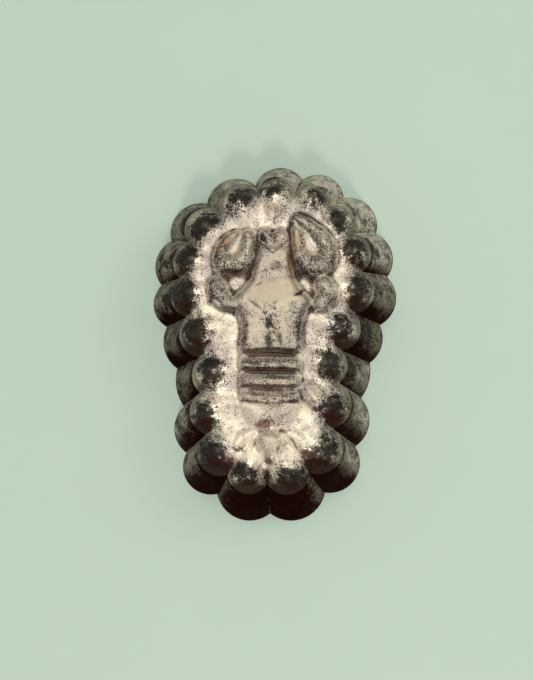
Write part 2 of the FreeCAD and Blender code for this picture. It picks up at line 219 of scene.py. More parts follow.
def closed_curve(corners: Array, steps: int = 8) -> Array:
    """A smooth closed line through some corners.

    Args:
        corners: the points to pass through.
        steps: how many points lie on each stretch.

    Returns:
        The points of the line.
    """
    before, after, beyond = (np.roll(corners, shift, 0) for shift in (1, -1, -2))
    rows = []
    for step in range(steps):
        t = step / steps
        weights = (-t + 2 * t**2 - t**3, 2 - 5 * t**2 + 3 * t**3, t + 4 * t**2 - 3 * t**3, t**3 - t**2)
        parts = zip(weights, (before, corners, after, beyond))
        rows.append(sum(weight * part for weight, part in parts) / 2)
    return np.stack(rows, 1).reshape(-1, 2)


def depth_inside(spots: Array, outline: Array) -> Array:
    """How far each spot lies inside a closed outline, negative outside it.

    Args:
        spots: the spots to measure, one row each.
        outline: the points of the outline.

    Returns:
        One depth for each spot.
    """
    nearest = np.full(len(spots), np.inf)
    inside = np.zeros(len(spots), bool)
    for start, end in zip(outline, np.roll(outline, -1, 0)):
        side = end - start
        offset = spots - start
        share = np.clip(offset @ side / (side @ side), 0, 1)
        nearest = np.minimum(nearest, np.linalg.norm(offset - share[:, None] * side, axis=1))
        crosses = (start[1] > spots[:, 1]) != (end[1] > spots[:, 1])
        if crosses.any():
            reach = side[0] * (spots[:, 1] - start[1]) / (side[1] or 1e-9) + start[0]
            inside ^= crosses & (spots[:, 0] < reach)
    return np.where(inside, nearest, -nearest)


@dataclass(frozen=True)
class Stroke:
    """A rounded ridge along a few points, each with its own radius."""

    rise: float
    points: tuple[Triple, ...]

    def height(self, spots: Array) -> Array:
        """The ridge's height over the plate at each spot."""
        fill = np.zeros(len(spots))
        for (x1, y1, r1), (x2, y2, r2) in zip(self.points, self.points[1:]):
            start, side = np.array([x1, y1]), np.array([x2 - x1, y2 - y1])
            share = np.clip((spots - start) @ side / (side @ side), 0, 1)
            away = np.linalg.norm(spots - start - share[:, None] * side, axis=1)
            fill = np.maximum(fill, 1 - (away / (r1 + (r2 - r1) * share)) ** 2)
        return self.rise * np.clip(fill, 0, 1)


@dataclass(frozen=True)
class Swell:
    """A raised form inside a smooth outline, its edge rounded over a width."""

    rise: float
    edge: float
    corners: Pairs
    fullness: float = 1.1

    def height(self, spots: Array) -> Array:
        """The form's height over the plate at each spot."""
        depth = depth_inside(spots, closed_curve(np.array(self.corners)))
        return self.rise * np.sin(np.clip(depth / self.edge, 0, 1) * math.pi / 2) ** self.fullness


@dataclass(frozen=True)
class TailBands:
    """Overlapping ribs across the tail, each steeper towards the tail end, on a low ground."""

    rise: float = 3.9
    ground: float = 1.5
    start: float = -12.1
    pitches: tuple[float, ...] = (7.9, 8.2, 8.2)
    half_width: float = 14.9
    slant: float = 1.35
    fullness: float = 0.55
    squareness: int = 8
    side_fullness: float = 0.6
    last_width_share: float = 0.97
    last_rise_share: float = 0.88
    last_bow: float = 0.010

    def rib(self, spots: Array, top: float, pitch: float, last: bool) -> Array:
        """One rib's height over the plate.

        Args:
            spots: the spots, one row each.
            top: where the rib starts, on the head side.
            pitch: how long it is in the middle.
            last: whether it is the one at the tail end, which is lower and bowed.

        Returns:
            One height for each spot.
        """
        x, y = spots[:, 0], spots[:, 1]
        bow = self.last_bow * x**2 if last else 0.0
        half_width = self.half_width * (self.last_width_share if last else 1)
        rise = self.rise * (self.last_rise_share if last else 1)
        share = np.clip((top - y) / (pitch - bow), 0, 1)
        across = np.clip(1 - (np.abs(x) / half_width) ** self.squareness, 0, 1) ** self.side_fullness
        ridge = rise * np.sin(math.pi * share**self.slant) ** self.fullness
        return np.maximum(ridge, self.ground * ((share > 0) & (share < 1))) * across

    def height(self, spots: Array) -> Array:
        """The ribs' height over the plate at each spot."""
        total = np.zeros(len(spots))
        top = self.start
        for number, pitch in enumerate(self.pitches, 1):
            total = np.maximum(total, self.rib(spots, top, pitch, number == len(self.pitches)))
            top -= pitch
        return total


@dataclass
class Lobster:
    """The pressed lobster: every form that stands over the plate, in its own places."""

    carapace: Swell = Swell(4.8, 6.5, (
        (-14.9, -12.4), (0.2, -12.1), (15.3, -11.9), (15.6, 0.0), (17.4, 8.0), (20.6, 15.0), (15.0, 20.6),
        (11.2, 27.4), (9.8, 36.0), (7.4, 42.0), (-7.4, 42.0), (-9.6, 36.0), (-11.0, 27.4), (-15.4, 20.4),
        (-21.2, 14.8), (-17.8, 8.0), (-15.4, 0.0),
    ))
    beak: Swell = Swell(3.1, 4.0, (
        (-10.0, 24.0), (-9.2, 38.0), (-8.6, 46.6), (-5.4, 50.6), (-2.4, 49.8), (-0.7, 48.4),
        (1.2, 49.6), (4.8, 50.4), (8.4, 46.6), (9.2, 38.0), (10.2, 24.0),
    ))
    right_claw: tuple[Swell | Stroke, ...] = (
        Swell(2.3, 4.2, (
            (7.6, 50.0), (9.4, 57.4), (15.4, 55.6), (22.4, 51.4), (28.9, 45.0), (31.6, 36.4), (29.2, 29.6),
            (23.4, 25.3), (16.6, 24.8), (10.8, 28.4), (7.9, 35.0), (7.0, 43.0),
        )),
        Stroke(4.25, (
            (10.6, 54.4, 2.8), (15.6, 52.0, 3.7), (21.8, 47.0, 4.5), (26.0, 41.0, 5.2), (26.0, 34.8, 5.8),
            (22.3, 31.2, 6.0), (17.5, 30.8, 5.6),
        )),
        Stroke(4.15, ((10.6, 48.6, 3.0), (11.4, 43.4, 4.0), (12.8, 37.0, 4.8), (16.6, 32.2, 6.0))),
    )
    left_claw: tuple[Swell | Stroke, ...] = (
        Swell(2.2, 4.2, (
            (-6.8, 43.8), (-8.2, 49.4), (-14.0, 49.4), (-20.0, 48.6), (-26.4, 43.6), (-29.8, 36.4),
            (-29.0, 30.0), (-24.0, 26.0), (-17.0, 25.0), (-11.2, 29.0), (-7.8, 36.0),
        )),
        Stroke(3.8, (
            (-24.2, 30.8, 5.4), (-25.6, 34.8, 4.4), (-24.2, 40.0, 3.9), (-20.8, 44.4, 3.2),
            (-17.8, 46.6, 2.2),
        )),
        Stroke(4.15, (
            (-22.0, 31.4, 5.6), (-16.4, 31.8, 6.2), (-12.8, 36.5, 5.8), (-11.8, 42.6, 4.8),
            (-12.4, 45.8, 3.6),
        )),
    )
    arms: tuple[Stroke, ...] = (
        Stroke(4.0, ((24.4, 22.4, 5.6), (26.4, 17.8, 6.4), (23.8, 13.8, 5.6))),
        Stroke(3.6, ((-26.8, 21.4, 5.4), (-25.6, 16.7, 6.0), (-22.2, 13.6, 5.2), (-18.6, 11.8, 3.6))),
    )
    bands: TailBands = TailBands()
    fan: tuple[Swell | Stroke, ...] = (
        Swell(2.1, 6.0, (
            (-13.8, -34.0), (0.0, -32.0), (13.8, -34.0), (13.4, -40.0), (9.8, -45.4), (4.4, -48.2),
            (-4.8, -48.4), (-10.2, -45.0), (-13.4, -40.0),
        )),
        Swell(2.7, 4.6, (
            (-5.0, -48.2), (1.4, -47.4), (7.2, -49.6), (7.8, -56.0), (4.8, -61.4), (1.4, -64.4),
            (-2.6, -61.8), (-5.8, -56.4), (-6.8, -51.6),
        )),
        Stroke(1.5, ((-7.8, -49.2, 3.0), (-11.6, -52.0, 4.4), (-14.4, -55.4, 3.0))),
        Stroke(1.2, ((8.8, -49.2, 2.8), (12.8, -51.6, 4.4), (16.6, -56.0, 3.0))),
    )
    leg: Stroke = Stroke(2.3, ((18.3, -27.6, 4.6), (20.5, -31.0, 4.6), (22.4, -34.6, 3.4)))
    blend: float = 4.5
    highest: float = 4.1

    def height(self, spots: Array) -> Array:
        """The lobster's height over the plate, its forms run softly into each other."""
        claws = self.right_claw + self.left_claw
        forms = (self.carapace, self.beak, *claws, *self.arms, self.bands, *self.fan, self.leg)
        total = sum(form.height(spots) ** self.blend for form in forms)
        return np.minimum(total ** (1 / self.blend), self.highest)


@dataclass
class Relief:
    """The lobster's heights on a fine grid, eased as pressing eases them, and read back anywhere."""

    lobster: Lobster = field(default_factory=Lobster)
    ease: float = 0.55
    surroundings: float = 1.9
    step: float = 0.4
    corner: tuple[float, float] = (-42.0, -74.0)
    span: tuple[float, float] = (84.0, 140.0)
    grid: Array = field(init=False)
    hollows: Array = field(init=False)

    def __post_init__(self) -> None:
        """Works the heights out once, and how deep each spot lies against what is round it."""
        across, along = (np.arange(0, reach, self.step) for reach in self.span)
        spots = np.stack(np.meshgrid(across, along, indexing="ij"), 2).reshape(-1, 2) + self.corner
        heights = self.lobster.height(spots).reshape(len(across), len(along))
        self.grid = self.eased(heights, self.ease)
        self.hollows = self.eased(self.grid, self.surroundings) - self.grid

    def eased(self, grid: Array, ease: float) -> Array:
        """The grid with its edges eased over a width.

        Args:
            grid: the heights.
            ease: the width, in millimetres.

        Returns:
            The eased heights.
        """
        reach = int(3 * ease / self.step)
        shifts = range(-reach, reach + 1)
        weights = np.exp(-0.5 * (np.array(shifts) * self.step / ease) ** 2)
        weights /= weights.sum()
        for axis in (0, 1):
            grid = sum(weight * np.roll(grid, shift, axis) for weight, shift in zip(weights, shifts))
        return grid

    def read(self, grid: Array, spots: Array) -> Array:
        """The value of a grid at each spot."""
        place = (spots - self.corner) / self.step
        low = np.clip(np.floor(place).astype(int), 0, np.array(grid.shape) - 2)
        share = np.clip(place - low, 0, 1)
        total = np.zeros(len(spots))
        for dx in (0, 1):
            for dy in (0, 1):
                weight = np.abs(1 - dx - share[:, 0]) * np.abs(1 - dy - share[:, 1])
                total += weight * grid[low[:, 0] + dx, low[:, 1] + dy]
        return total


@dataclass
class Hand:
    """The unevenness that hand work leaves in a sheet, the same on every run."""

    seed: int
    waves: int
    shortest: float
    longest: float
    turns: Array = field(init=False)
    phases: Array = field(init=False)

    def __post_init__(self) -> None:
        """Chooses the waves that are added up."""
        chance = np.random.default_rng(self.seed)
        directions = chance.normal(size=(self.waves, 3))
        directions /= np.linalg.norm(directions, axis=1)[:, None]
        lengths = chance.uniform(self.shortest, self.longest, self.waves)
        self.turns = directions * (2 * math.pi / lengths)[:, None]
        self.phases = chance.uniform(0, 2 * math.pi, self.waves)

    def push(self, points: Array) -> Array:
        """How far each point is pushed, from -1 to 1."""
        return np.sin(points @ self.turns.T + self.phases).mean(1) * 2


@dataclass
class PressedHeights:
    """The height of the pressed top at any spot: domes, plate and lobster."""

    line: FluteLine
    relief: Relief = field(default_factory=Relief)
    dome_floor: float = 2.0
    edge_width: float = 10.0
    edge_drop: float = 0.6
    edge_fullness: float = 0.9
    valley_fold: float = 0.35
    plate_fold: float = 3.0
    inward_stretch: float = 2.3
    sheet_depth: float = 1.25
    search_reach: float = 5.0
    search_step: float = 0.1

    def dome_share(self, spots: Array, number: int) -> tuple[Array, Array, Array]:
        """Where each spot lies on one dome.

        Args:
            spots: the spots, one row each.
            number: which dome.

        Returns:
            The share of the way from its crest to its foot, and how far outward and sideways it lies, as
            shares of its radius.
        """
        ring = self.line.domes
        offset = (spots - ring.centres[number]) / ring.radii[number]
        axis = self.line.inward[number]
        along, across = offset @ axis, offset @ np.array([-axis[1], axis[0]])
        shortened = np.where(along > 0, along / self.inward_stretch, along)
        return np.hypot(shortened, across), -along, across

    def domes(self, spots: Array) -> Array:
        """The height of the round ends of the flutes, folded sharply into each other."""
        rise = self.line.crest - self.line.skirt_base
        total = np.full(len(spots), self.line.skirt_base - self.dome_floor)
        for number in range(self.line.count):
            share, _, _ = self.dome_share(spots, number)
            cap = self.line.skirt_base + rise * (1 - share**self.line.profile_power)
            total = soft_max(total, cap, self.valley_fold)
        return total

    def plate(self, spots: Array) -> Array:
        """The plate, turned down towards the valleys."""
        depth = depth_inside(spots, closed_curve(self.line.domes.valleys(), 4))
        turned = np.sin(np.clip(depth / self.edge_width, 0, 1) * math.pi / 2) ** self.edge_fullness
        foot = self.line.skirt_base - self.edge_drop
        return foot + (self.line.plate_top - foot) * turned

    def shell(self, spots: Array) -> Array:
        """The height without the lobster at each spot."""
        return soft_max(self.domes(spots), self.plate(spots), self.plate_fold)

    def height(self, spots: Array) -> Array:
        """The whole height at each spot."""
        return self.shell(spots) + self.raised(spots)

    def raised(self, spots: Array) -> Array:
        """How far the lobster stands over the plate at each spot."""
        return self.relief.read(self.relief.grid, spots - self.line.shift)

    def hollow(self, spots: Array) -> Array:
        """How far each spot lies below what is round it."""
        return self.relief.read(self.relief.hollows, spots - self.line.shift)

    def under_shell(self, outline: Array, inward: Array, level: float) -> Array:
        """Where something inside the shoulder, moved in from an outline, comes under the sheet at a level.

        Args:
            outline: where the search starts.
            inward: the way in at each point.
            level: height of what lies inside.

        Returns:
            One point for each point of the outline, at the level.
        """
        wanted = level + self.sheet_depth
        found = outline + inward * self.search_reach
        for step in np.arange(self.search_reach, 0, -self.search_step):
            spots = outline + inward * step
            found = np.where(self.shell(spots)[:, None] >= wanted, spots, found)
        return np.column_stack([found, np.full(len(found), level)])


@dataclass(frozen=True)
class DomeDarkReflection:
    """The painted dark reflection on the crest and outer side of each dome, no two quite alike."""

    outward: float = 0.25
    half_length: float = 0.66
    half_width: float = 0.80
    reach: float = 1.45
    strays: Triple = (0.12, 0.14, 0.13)
    seed: int = 23
    strengths: tuple[float, ...] = (
        0.86, 0.95, 0.95, 1.02, 0.92, 1.10, 0.95, 1.00, 1.00, 1.00, 1.05, 1.00, 1.00, 1.15, 1.15, 1.15,
        1.05, 1.0, 0.92,
    )

    def depth(self, heights: PressedHeights, spots: Array) -> Array:
        """How deep the painted dark reflection is at each spot.

        Args:
            heights: the pressed top, which knows where its domes are.
            spots: the spots, one row each.

        Returns:
            A value from 0 to somewhat over 1 for each spot.
        """
        chance = np.random.default_rng(self.seed)
        total = np.zeros(len(spots))
        for number, strength in enumerate(self.strengths):
            _, outward, across = heights.dome_share(spots, number)
            start, aside, wider = chance.uniform(-1, 1, 3) * self.strays
            length = (outward - self.outward - start) / self.half_length
            width = (across - aside) / (self.half_width + wider)
            total = np.maximum(total, np.clip(self.reach - np.hypot(length, width), 0, 1) * strength)
        return total


# Shader work

@dataclass(frozen=True)
class Oval:
    """One stained or worn oval, seen from above, in the mould's own places, in millimetres and degrees."""

    x: float
    y: float
    half_length: float
    half_width: float
    turn: float = 0.0
    strength: float = 1.0


def ovals(*rows: tuple[float, ...]) -> tuple[Oval, ...]:
    """Ovals from rows of place, half length, half width, turn and strength."""
    return tuple(Oval(*row) for row in rows)


@dataclass(frozen=True)
class Cloud:
    """A kind of cloudy noise: clouds per metre, finer layers, their strength, and factors along the axes."""

    scale: float
    detail: float = 4.0
    roughness: float = 0.55
    stretch: Triple | None = None


class Wire:
    """A socket in a node tree; arithmetic on it adds Math nodes."""

    def __init__(self, board: "Board", socket: bpy.types.NodeSocket) -> None:
        """Keeps the socket and the tree it belongs to."""
        self.board = board
        self.socket = socket

    def _math(self, operation: str, *values: Any) -> "Wire":
        """Adds one Math node for an operation on some values."""
        return self.board.node("ShaderNodeMath", {"operation": operation}, dict(enumerate(values)))

    def __add__(self, other: Any) -> "Wire":
        """Sum."""
        return self._math("ADD", self, other)

    def __radd__(self, other: Any) -> "Wire":
        """Sum with a number on the left."""
        return self._math("ADD", other, self)

    def __sub__(self, other: Any) -> "Wire":
        """Difference."""
        return self._math("SUBTRACT", self, other)

    def __rsub__(self, other: Any) -> "Wire":
        """Difference with a number on the left."""
        return self._math("SUBTRACT", other, self)

    def __mul__(self, other: Any) -> "Wire":
        """Product."""
        return self._math("MULTIPLY", self, other)

    def __rmul__(self, other: Any) -> "Wire":
        """Product with a number on the left."""
        return self._math("MULTIPLY", other, self)


class Board:
    """A node tree to which nodes are added."""

    def __init__(self, tree: bpy.types.NodeTree) -> None:
        """Keeps the tree and empties it."""
        self.tree = tree
        tree.nodes.clear()

    def node(
        self, kind: str, settings: dict[str, Any], inputs: dict[Any, Any], output: Any = 0
    ) -> Wire | None:
        """Adds a node.

        Args:
            kind: the node's type.
            settings: attributes to set first.
            inputs: values or wires for its sockets, by name or number.
            output: the output socket wanted.

        Returns:
            The wanted output, or None from a node that has no outputs.
        """
        made = self.tree.nodes.new(kind)
        for name, value in settings.items():
            setattr(made, name, value)
        for key, value in inputs.items():
            if isinstance(value, Wire):
                self.tree.links.new(value.socket, made.inputs[key])
            else:
                made.inputs[key].default_value = value
        return Wire(self, made.outputs[output]) if made.outputs else None


class Paint(Board):
    """Builds the nodes of one material."""

    STRAYS = (4.5 * MM, 4.5 * MM, 0.0)
    STRAY = Cloud(170, 4, 0.6)
    EDGE = Cloud(1500, 4, 0.75)
    EDGE_RAGGEDNESS = 1.6
    OVAL_EDGE = (1.25, 0.45)
    BUMP_STRENGTH = 0.6

    def __init__(self, name: str) -> None:
        """Starts an empty material.

        Args:
            name: the material's name.
        """
        self.material = bpy.data.materials.new(name)
        self.material.use_nodes = True
        super().__init__(self.material.node_tree)
        self.place = self.node("ShaderNodeTexCoord", {}, {}, "Object")

    @cached_property
    def normal(self) -> Wire:
        """The way the surface faces."""
        return self.node("ShaderNodeNewGeometry", {}, {}, "Normal")

    @cached_property
    def ragged_place(self) -> Wire:
        """The place on the surface, strayed sideways by noise, for ragged outlines."""
        stray = self.vector("SUBTRACT", self.noise(self.STRAY, "Color"), (0.5, 0.5, 0.5))
        return self.vector("ADD", self.place, self.vector("MULTIPLY", stray, self.STRAYS))

    @cached_property
    def ragged_edge(self) -> Wire:
        """A grain that is about 0 on average, for ragged outlines."""
        return (self.noise(self.EDGE) - 0.5) * self.EDGE_RAGGEDNESS

    def noise(self, cloud: Cloud, output: str = "Fac") -> Wire:
        """Cloudy noise.

        Args:
            cloud: its kind.
            output: the output socket wanted.

        Returns:
            A value, or a colour, of about 0 to 1.
        """
        place = self.vector("MULTIPLY", self.place, cloud.stretch) if cloud.stretch else self.place
        inputs = {"Vector": place, "Scale": cloud.scale, "Detail": cloud.detail, "Roughness": cloud.roughness}
        return self.node("ShaderNodeTexNoise", {}, inputs, output)

    def vector(self, operation: str, *values: Any, output: Any = 0) -> Wire:
        """Adds one Vector Math node for an operation on some values."""
        return self.node("ShaderNodeVectorMath", {"operation": operation}, dict(enumerate(values)), output)

    def ramp(self, value: Wire, low: float, high: float) -> Wire:
        """A soft step from 0 at one value to 1 at another.

        Args:
            value: what is stepped.
            low: where the step starts.
            high: where it ends; it may lie below the start.

        Returns:
            A mask from 0 to 1.
        """
        settings = {"interpolation_type": "SMOOTHSTEP", "clamp": True}
        inputs = {"Value": value, "From Min": min(low, high), "From Max": max(low, high)}
        step = self.node("ShaderNodeMapRange", settings, inputs)
        return 1.0 - step if high < low else step

    def blend(self, mask: Any, under: Any, over: Any) -> Wire:
        """Mixes two colours by a mask.

        Args:
            mask: share of the upper colour.
            under: the colour below, as a wire or three numbers.
            over: the colour above.

        Returns:
            The mixed colour.
        """
        under, over = (c if isinstance(c, Wire) else (*c, 1.0) for c in (under, over))
        settings = {"data_type": "RGBA", "clamp_factor": True}
        return self.node("ShaderNodeMix", settings, {0: mask, 6: under, 7: over}, 2)

    def layers(self, colour: Wire, *coats: tuple[Wire, Colour]) -> Wire:
        """Lays colours over each other.

        Args:
            colour: the lowest colour.
            coats: a mask and a colour for each coat, from the lowest up.

        Returns:
            The colour that shows.
        """
        for mask, over in coats:
            colour = self.blend(mask, colour, over)
        return colour

    def stained(self, colour: Wire, zones: tuple[Oval, ...], stain: Colour) -> Wire:
        """Lays ovals of one colour over another."""
        return self.layers(colour, *((self.spot(zone), stain) for zone in zones))

    def facing(self, direction: Triple) -> Wire:
        """How far the surface faces a direction, from -1 to 1."""
        return self.vector("DOT_PRODUCT", self.normal, tuple(Vector(direction).normalized()), output="Value")

    def spot(self, zone: Oval) -> Wire:
        """A soft oval with a ragged edge.

        Args:
            zone: where it lies and how strong it is.

        Returns:
            A mask that has the oval's strength well inside it and is 0 outside.
        """
        shifted = self.vector("SUBTRACT", self.ragged_place, (zone.x * MM, zone.y * MM, 0.0))
        inputs = {"Vector": shifted, "Angle": -math.radians(zone.turn)}
        turned = self.node("ShaderNodeVectorRotate", {"rotation_type": "Z_AXIS"}, inputs)
        scales = (1 / (zone.half_length * MM), 1 / (zone.half_width * MM), 0.0)
        away = self.vector("LENGTH", self.vector("MULTIPLY", turned, scales), output="Value")
        return self.ramp(away + self.ragged_edge, *self.OVAL_EDGE) * zone.strength

    def mark(self, name: str) -> Wire:
        """A value that the mesh keeps at its points."""
        return self.node("ShaderNodeAttribute", {"attribute_name": name}, {}, "Fac")

    def height(self) -> Wire:
        """The height of the surface over the rim, in metres."""
        return self.node("ShaderNodeSeparateXYZ", {}, {0: self.place}, "Z")

    def close(self, shader: Wire) -> bpy.types.Material:
        """Links a shader to the material's output and returns the material."""
        self.node("ShaderNodeOutputMaterial", {}, {"Surface": shader})
        return self.material

    def finish(self, sockets: dict[str, Any], relief: Wire, depth: float = 0.32) -> bpy.types.Material:
        """Closes the material with one Principled shader over a fine relief.

        Args:
            sockets: values or wires for the shader's sockets.
            relief: the unevenness of the surface.
            depth: how deep it is, in millimetres.

        Returns:
            The finished material.
        """
        kind = {"Strength": self.BUMP_STRENGTH, "Distance": depth * MM}
        bump = self.node("ShaderNodeBump", {}, {**kind, "Height": relief, "Normal": self.normal})
        return self.close(self.node("ShaderNodeBsdfPrincipled", {}, {**sockets, "Normal": bump}, "BSDF"))


@dataclass(frozen=True)
class TinnedPlate:
    """Dull, worn tin of the pressed top: cream where it lies flat, with painted dark reflections in charcoal
    and brown down the shoulders.
    """

    cream: Colour = (0.90, 0.775, 0.575)
    pinkish: Colour = (0.60, 0.51, 0.43)
    raised_grey: Colour = (0.29, 0.245, 0.185)
    # colour of the painted shade in the creases round the lobster
    crease_shade: Colour = (0.130, 0.088, 0.050)
    speck: Colour = (0.022, 0.019, 0.017)
    # charcoal is the colour of the painted dark reflection on the domes
    charcoal: Colour = (0.013, 0.011, 0.009)
    # brown: painted shade in the deepest hollows and painted dark reflection on tail-facing slopes
    brown: Colour = (0.028, 0.0085, 0.0052)
    # colour of the painted dark band of reflection on the shoulders
    shoulder_shade: Colour = (0.125, 0.110, 0.084)
    # bright is the colour of the painted highlights
    bright: Colour = (0.84, 0.84, 0.77)
    amber: Colour = (0.36, 0.21, 0.075)
    oxide: Colour = (0.125, 0.046, 0.040)
    pale: Colour = (0.60, 0.49, 0.33)
    clouds: Cloud = Cloud(75, 5, 0.6)
    patches: Cloud = Cloud(240, 6, 0.68)
    grains: Cloud = Cloud(1300, 4, 0.74)
    dust: Cloud = Cloud(3000, 2, 0.6)
    lobster_heights: tuple[float, float] = (0.9, 2.8)
    tail_heights: tuple[float, float] = (0.6, -0.8)
    # how much each speck-and-shade oval crowds the specks
    speck_and_shade_spread: float = 0.075
    specular: float = 0.04
    worn_zone: Oval = Oval(-0.8, 19.0, 13.6, 6.0)
    # grey ovals: tone on the plate, and painted shade on the carapace's two sides
    grey_and_shade_zones: tuple[Oval, ...] = ovals(
        (-19.0, 57.0, 16.0, 7.0, 35, 0.8), (19.5, -12.0, 4.5, 13.0, 0, 0.8),
        (0.0, 38.0, 7.5, 12.0, 0, 0.55), (-27.0, 36.0, 7.0, 14.0, 0, 0.5), (9.0, 58.0, 9.0, 5.0, 10, 0.6),
        (15.5, 3.0, 4.5, 13.0, 0, 0.85), (-13.5, 2.0, 3.5, 13.0, 0, 0.8), (-11.0, -44.0, 5.0, 6.0, 0, 0.4),
    )
    amber_zones: tuple[Oval, ...] = ovals(
        (-23.6, 41.5, 6.0, 2.4, 62, 0.75), (12.0, 43.5, 6.5, 3.6, 75, 0.45),
        (8.6, 31.5, 8.5, 2.0, 97, 0.75), (-8.8, 41.0, 6.0, 1.4, 92, 0.55), (0.5, 60.0, 6.0, 3.0, 0, 0.45),
        (-31.0, 3.0, 5.0, 2.6, 60, 0.30), (28.6, 37.0, 7.0, 1.2, 100, 0.4),
    )
    oxide_zones: tuple[Oval, ...] = ovals(
        (-1.8, -44.2, 4.6, 2.2, 8, 0.85), (6.4, -47.0, 2.2, 1.2, -20, 0.8),
        (19.2, -57.6, 4.0, 1.9, -32, 0.85), (-17.6, -60.6, 3.4, 2.4, 20, 0.6),
        (0.4, -61.6, 2.6, 1.5, 10, 0.75),
    )
    # where the painted highlights lie: glints on the claws, arms, leg, tail and carapace
    highlight_zones: tuple[Oval, ...] = ovals(
        (11.0, 51.8, 3.2, 0.6, -36, 0.8), (15.6, 48.2, 3.6, 0.7, -44, 0.9),
        (19.4, 43.4, 3.2, 0.7, -58, 0.9), (-25.8, 12.6, 2.8, 0.9, -38, 0.8),
        (22.6, 10.2, 2.2, 0.7, 20, 0.6), (21.8, -35.4, 1.5, 1.0, -30, 0.8),
        (18.4, -21.0, 0.9, 2.8, 10, 0.6), (-26.4, 28.6, 2.6, 0.7, -38, 0.7), (20.0, 28.6, 2.4, 0.6, 4, 0.5),
        (-3.2, -58.6, 1.3, 1.0, 0, 0.7), (-5.2, -48.4, 0.8, 1.2, -20, 0.7), (-16.6, 6.0, 0.6, 3.4, 5, 0.6),
    )
    # ovals where dark specks crowd, partly painted shade on the carapace's sides and round the claws
    speck_and_shade_zones: tuple[Oval, ...] = ovals(
        (0.0, 2.0, 5.0, 12.0, 0, 0.9), (-13.0, 1.0, 4.0, 14.0, 0, 0.6), (14.0, 4.0, 4.0, 12.0, 0, 0.7),
        (23.8, 42.0, 13.0, 4.6, -62, 1.0), (14.0, 40.0, 3.4, 9.0, -8, 0.6), (20.0, 31.5, 9.0, 4.0, 10, 0.9),
        (-19.0, 31.0, 10.0, 4.2, -10, 1.0), (-24.6, 38.0, 3.4, 7.0, -20, 0.8),
        (-12.6, 40.0, 3.4, 8.0, 0, 0.6), (-25.4, 17.0, 5.0, 5.0, 0, 0.8), (24.6, 18.0, 5.6, 6.0, 0, 0.6),
        (0.0, -16.0, 14.0, 2.4, 0, 0.9), (0.0, -24.0, 14.0, 2.4, 0, 0.9), (0.0, -32.0, 13.0, 2.0, 0, 0.7),
        (0.0, 32.0, 8.5, 4.5, 0, 0.5), (-21.0, 58.0, 12.0, 6.0, 35, 0.6), (-31.0, 10.0, 5.0, 20.0, 0, 0.5),
        (21.0, -8.0, 5.0, 10.0, 0, 0.6), (-22.0, -44.0, 6.0, 16.0, 0, 0.3), (8.0, 57.0, 9.0, 4.0, 0, 0.6),
        (0.0, 44.0, 7.0, 5.0, 0, 0.7),
    )
    # dark blotches; the four thin ones on the tail fan are painted shade along its leaves' lower edges
    blotches_and_edge_shade: tuple[Oval, ...] = ovals(
        (-1.0, 3.4, 2.4, 3.0, 0, 0.9), (-0.6, -5.0, 2.2, 4.6, 0, 0.85), (13.6, 18.2, 3.0, 1.0, 32, 0.95),
        (-4.4, 45.2, 2.8, 1.4, 115, 0.95), (-6.0, 22.5, 2.6, 0.7, 30, 0.6), (0.8, 55.0, 3.4, 0.6, 84, 0.7),
        (-7.6, 12.6, 4.0, 1.2, -32, 0.6), (4.4, -4.0, 1.4, 3.6, 5, 0.7), (5.0, -22.4, 6.0, 0.9, 0, 0.6),
        (-8.0, -15.6, 5.0, 1.3, 0, 0.8), (-6.0, -30.4, 4.0, 1.0, -8, 0.6), (2.0, 31.0, 3.0, 2.4, 30, 0.5),
        (-12.6, -56.6, 3.0, 0.5, -20, 0.75), (12.6, -53.2, 4.2, 0.5, -53, 0.75),
        (5.4, -56.0, 3.6, 0.4, 78, 0.6), (-7.4, -54.6, 3.0, 0.4, 60, 0.6),
    )

    def material(self, line: FluteLine) -> bpy.types.Material:
        """Builds the finish.

        Args:
            line: the plan of the flutes, for the heights of the shoulders.

        Returns:
            The material.
        """
        paint = Paint("tinned_plate")
        height, up, tail = paint.height(), paint.facing((0, 0, 1)), paint.facing((0, -1, 0))
        clouds, patches = paint.noise(self.clouds), paint.noise(self.patches)
        grains, dust = paint.noise(self.grains), paint.noise(self.dust)
        raised, dome_dark_mark = paint.ramp(paint.mark("raised"), *self.lobster_heights), paint.mark("dark_reflection")
        ragged = (clouds - 0.5) * 0.6 + (patches - 0.5) + (grains - 0.5) * 0.9
        density = paint.ramp(clouds * 0.40 + patches * 0.60, 0.43, 0.60)

        # Worn tin, with its specks and blotches
        tin = paint.blend(paint.ramp(clouds * 0.7 + patches * 0.5, 0.52, 0.72), self.cream, self.pinkish)
        tin = paint.stained(tin, self.grey_and_shade_zones, self.pinkish)
        # the raised lobster is greyer and darker than the plate
        tin = paint.stained(paint.blend(raised * 0.62, tin, self.raised_grey), self.amber_zones, self.amber)
        # specks crowd on slopes and beside the domes' dark patches, partly as painted shade
        spread = density * 0.060 + paint.ramp(up, 0.985, 0.84) * 0.040 + raised * 0.018
        spread = spread + paint.ramp(dome_dark_mark, 0.0, 0.5) * 0.055
        # specks crowd in ovals, partly as painted shade
        for zone in self.speck_and_shade_zones:
            spread = spread + paint.spot(zone) * self.speck_and_shade_spread
        worn = paint.spot(self.worn_zone)
        specks = paint.ramp(grains + spread + (dust - 0.5) * 0.16, 0.604, 0.655) * (1.0 - worn * 0.92)
        tin = paint.layers(tin, (specks * 0.92, self.speck), (worn * 0.8, self.pale))
        tin = paint.stained(tin, self.blotches_and_edge_shade, self.speck)

        # Shoulders, domes, creases and the tail's side
        shoulder = paint.ramp(height, line.crest * MM, line.dome_base * MM)
        # painted dark reflection on each dome's crest and outer side
        dark_reflection = paint.ramp(dome_dark_mark * 0.85 + ragged * 1.15, 0.40, 0.72)
        hollow = paint.mark("hollow") + ragged * 0.5
